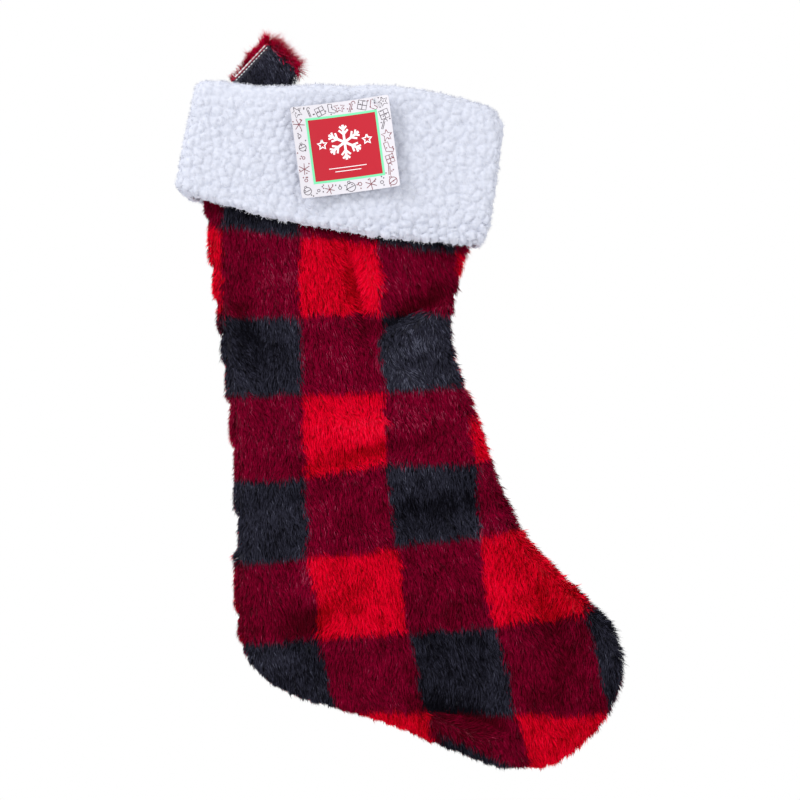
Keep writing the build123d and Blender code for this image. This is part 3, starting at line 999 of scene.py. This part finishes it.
def snowflake(card, lift):
    """Six feathered arms."""
    parts = []
    centre = np.array([0, PICTURE_V])
    for n in range(6):
        angle = math.pi / 2 + n * math.pi / 3
        out = np.array([math.cos(angle), math.sin(angle)])
        side = np.array([-out[1], out[0]])
        parts.append(card.line([centre, centre + out * FLAKE_REACH], FLAKE_WIDE, lift))
        for share, long in ((0.45, 0.26), (0.72, 0.2)):
            fork = centre + out * FLAKE_REACH * share
            for way in (-1, 1):
                feather = fork + (out + side * way) * FLAKE_REACH * long
                parts.append(card.line([fork, feather], FLAKE_WIDE * 0.8, lift))
    return parts


def card_picture(card, lift):
    """The snowflake between two stars, over two rules."""
    parts = snowflake(card, lift)
    for u in (-STAR_U, STAR_U):
        star = [(u + a, PICTURE_V + b) for a, b in star_path(STAR_RADIUS)]
        parts.append(card.line(star, STAR_WIDE, lift))
    for v, half in RULES:
        steps = np.linspace(-half, half, 12)
        parts.append(card.line([(u, v) for u in steps], RULE_WIDE, lift))
    return parts


def card_print():
    """Everything printed on the card's face."""
    card = Card()
    inks = {
        "mint": plain_material("mint_ink", srgb(120, 225, 170), 0.45),
        "red": plain_material("red_ink", srgb(186, 28, 46), 0.42, specular_ior_level=0.25),
        "white": plain_material("white_ink", srgb(246, 244, 246), 0.45),
        "maroon": plain_material("maroon_ink", srgb(120, 24, 44), 0.5),
        "grey": plain_material("grey_ink", srgb(74, 62, 72), 0.5),
    }
    for ink in inks.values():
        add_bump(ink, add_noise(ink, 1500.0), 0.12, 0.05 * MM)
    border = card.area(PANEL_HALF[0] + BORDER, PANEL_HALF[1] + BORDER, PRINT_LIFT)
    panel = card.area(*PANEL_HALF, 2 * PRINT_LIFT)
    picture = joined(card_picture(card, 3 * PRINT_LIFT))
    pieces = [
        show("card_mint_border", *border, [inks["mint"]]),
        show("card_red_panel", *panel, [inks["red"]]),
        show("card_picture", *picture, [inks["white"]]),
    ]
    for ink, parts in card_doodles(card).items():
        pieces.append(show(f"card_{ink}_doodles", *joined(parts), [inks[ink]]))
    for piece in pieces:
        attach(piece, "tag")


# ==================== carried-over CAD nodes

def paint(node, material):
    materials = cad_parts[node].data.materials
    materials.clear()
    materials.append(material)


def paint_nodes():
    """Fine materials for the CAD nodes that stay as they are."""
    thread = plain_material("white_thread", srgb(238, 236, 238), 0.7, sheen_weight=0.2)
    add_bump(thread, add_noise(thread, 2600.0), 0.5, 0.2 * MM)
    knit = plain_material("knit_backing", srgb(120, 16, 34), 0.85)
    knit_noise = add_noise(knit, 700.0)
    tint_between(knit, knit_noise, srgb(92, 10, 26), srgb(134, 22, 42))
    add_bump(knit, knit_noise, 0.7, 0.5 * MM)
    board = plain_material("card_stock", srgb(217, 214, 221), 0.5)
    add_bump(board, add_noise(board, 1500.0), 0.12, 0.05 * MM)
    nylon = plain_material("clear_nylon", srgb(246, 248, 250), 0.16, transmission_weight=0.8, ior=1.52)
    paint("body_seam", knit)
    for node in ("cuff_seam_left", "cuff_seam_right", "cuff_hem_seam", "mouth_seam", "loop_bartack"):
        paint(node, thread)
    paint("tag_card", board)
    paint("tag_pin", nylon)
    return thread


# ==================== build

def build_panels(shades, grounds):
    for side, name in SIDES.items():
        cloth = panel_cloth(side, grounds)
        pile = panel_pile(settled(cloth), side, shades)
        for piece in [cloth, *pile]:
            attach(piece, "stocking")
            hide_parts(f"{name}_panel")


def build_cuffs():
    material = sherpa_material("sherpa")
    colors = (srgb(206, 208, 218), srgb(213, 215, 224), srgb(222, 223, 230))
    fibre = [plain_material(f"sherpa_fibre_{n}", c, 0.8, sheen_weight=0.2) for n, c in enumerate(colors)]
    for side, name in SIDES.items():
        cloth = cuff_cloth(side, material)
        fuzz = cuff_fuzz(cloth, side, fibre)
        for piece in (cloth, fuzz):
            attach(piece, "stocking")
            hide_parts(f"cuff_{name}")


def build_loop(shades, grounds, thread):
    cloth = loop_cloth(grounds)
    pile = loop_pile(cloth, shades)
    stitches = loop_stitches(cloth, thread)
    for piece in [cloth, *pile, stitches]:
        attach(piece, "loop")
    for piece in [cloth, *pile]:
        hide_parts("loop_strip")
    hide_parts("loop_edge_stitching")


FLOOR_RADIUS = 0.9
FLOOR_Z = -0.75
AIM = (0.08, 0, -0.24)        # the lights point at the middle of the leg
LIGHTS = (                    # name, place, size and power
    ("key_light", (-1.0, -1.0, 0.9), 0.6, 13.0),
    ("fill_light", (0.9, -1.3, 0.1), 0.9, 2.0),
    ("rim_light", (0.3, 1.2, 0.6), 0.8, 5.0),
)
SENSOR_MM = 36
LENS_MM = 102.86
CAMERA_Y = -1.6
CAMERA_SHIFT = (1.9 * MM, 3.6 * MM)     # from the middle of the CAD's box, in X and Z


def build_stage():
    """A pale floor well below the stocking, and soft studio light."""
    place = (AIM[0], AIM[1], FLOOR_Z)
    bpy.ops.mesh.primitive_circle_add(vertices=96, radius=FLOOR_RADIUS, fill_type="NGON", location=place)
    floor = bpy.context.object
    floor.name = "studio_floor"
    pale = plain_material("studio_floor_pale", srgb(240, 240, 241), 0.9)
    floor.data.materials.append(pale)
    scene = bpy.context.scene
    scene.view_settings.view_transform = "Standard"
    scene.world = bpy.data.worlds.new("studio")
    scene.world.use_nodes = True
    background = scene.world.node_tree.nodes["Background"]
    background.inputs["Color"].default_value = (1, 1, 1, 1)
    background.inputs["Strength"].default_value = 1.0
    for name, place, size, power in LIGHTS:
        light = bpy.data.lights.new(name, "AREA")
        light.shape = "DISK"
        light.size = size
        light.energy = power
        lamp = bpy.data.objects.new(name, light)
        lamp.location = place
        aim = Vector(AIM) - Vector(place)
        lamp.rotation_euler = aim.to_track_quat("-Z", "Y").to_euler()
        bpy.context.collection.objects.link(lamp)


def build_camera():
    """Straight at the front, level with the leg's middle."""
    low, high = (Vector(corner) for corner in cad_box)
    middle = (low + high) / 2
    lens = bpy.data.cameras.new("camera")
    lens.sensor_width = SENSOR_MM
    lens.lens = LENS_MM
    camera = bpy.data.objects.new("camera", lens)
    camera.location = (middle.x + CAMERA_SHIFT[0], CAMERA_Y, middle.z + CAMERA_SHIFT[1])
    camera.rotation_euler = (math.pi / 2, 0, 0)
    bpy.context.collection.objects.link(camera)
    bpy.context.scene.camera = camera


build_camera()
build_stage()
pile_shades = pile_materials()
fur_grounds = [backing_material(kind) for kind in PILE_SHADES]
white_thread = paint_nodes()
build_panels(pile_shades, fur_grounds)
build_cuffs()
build_loop(pile_shades, fur_grounds, white_thread)
card_print()
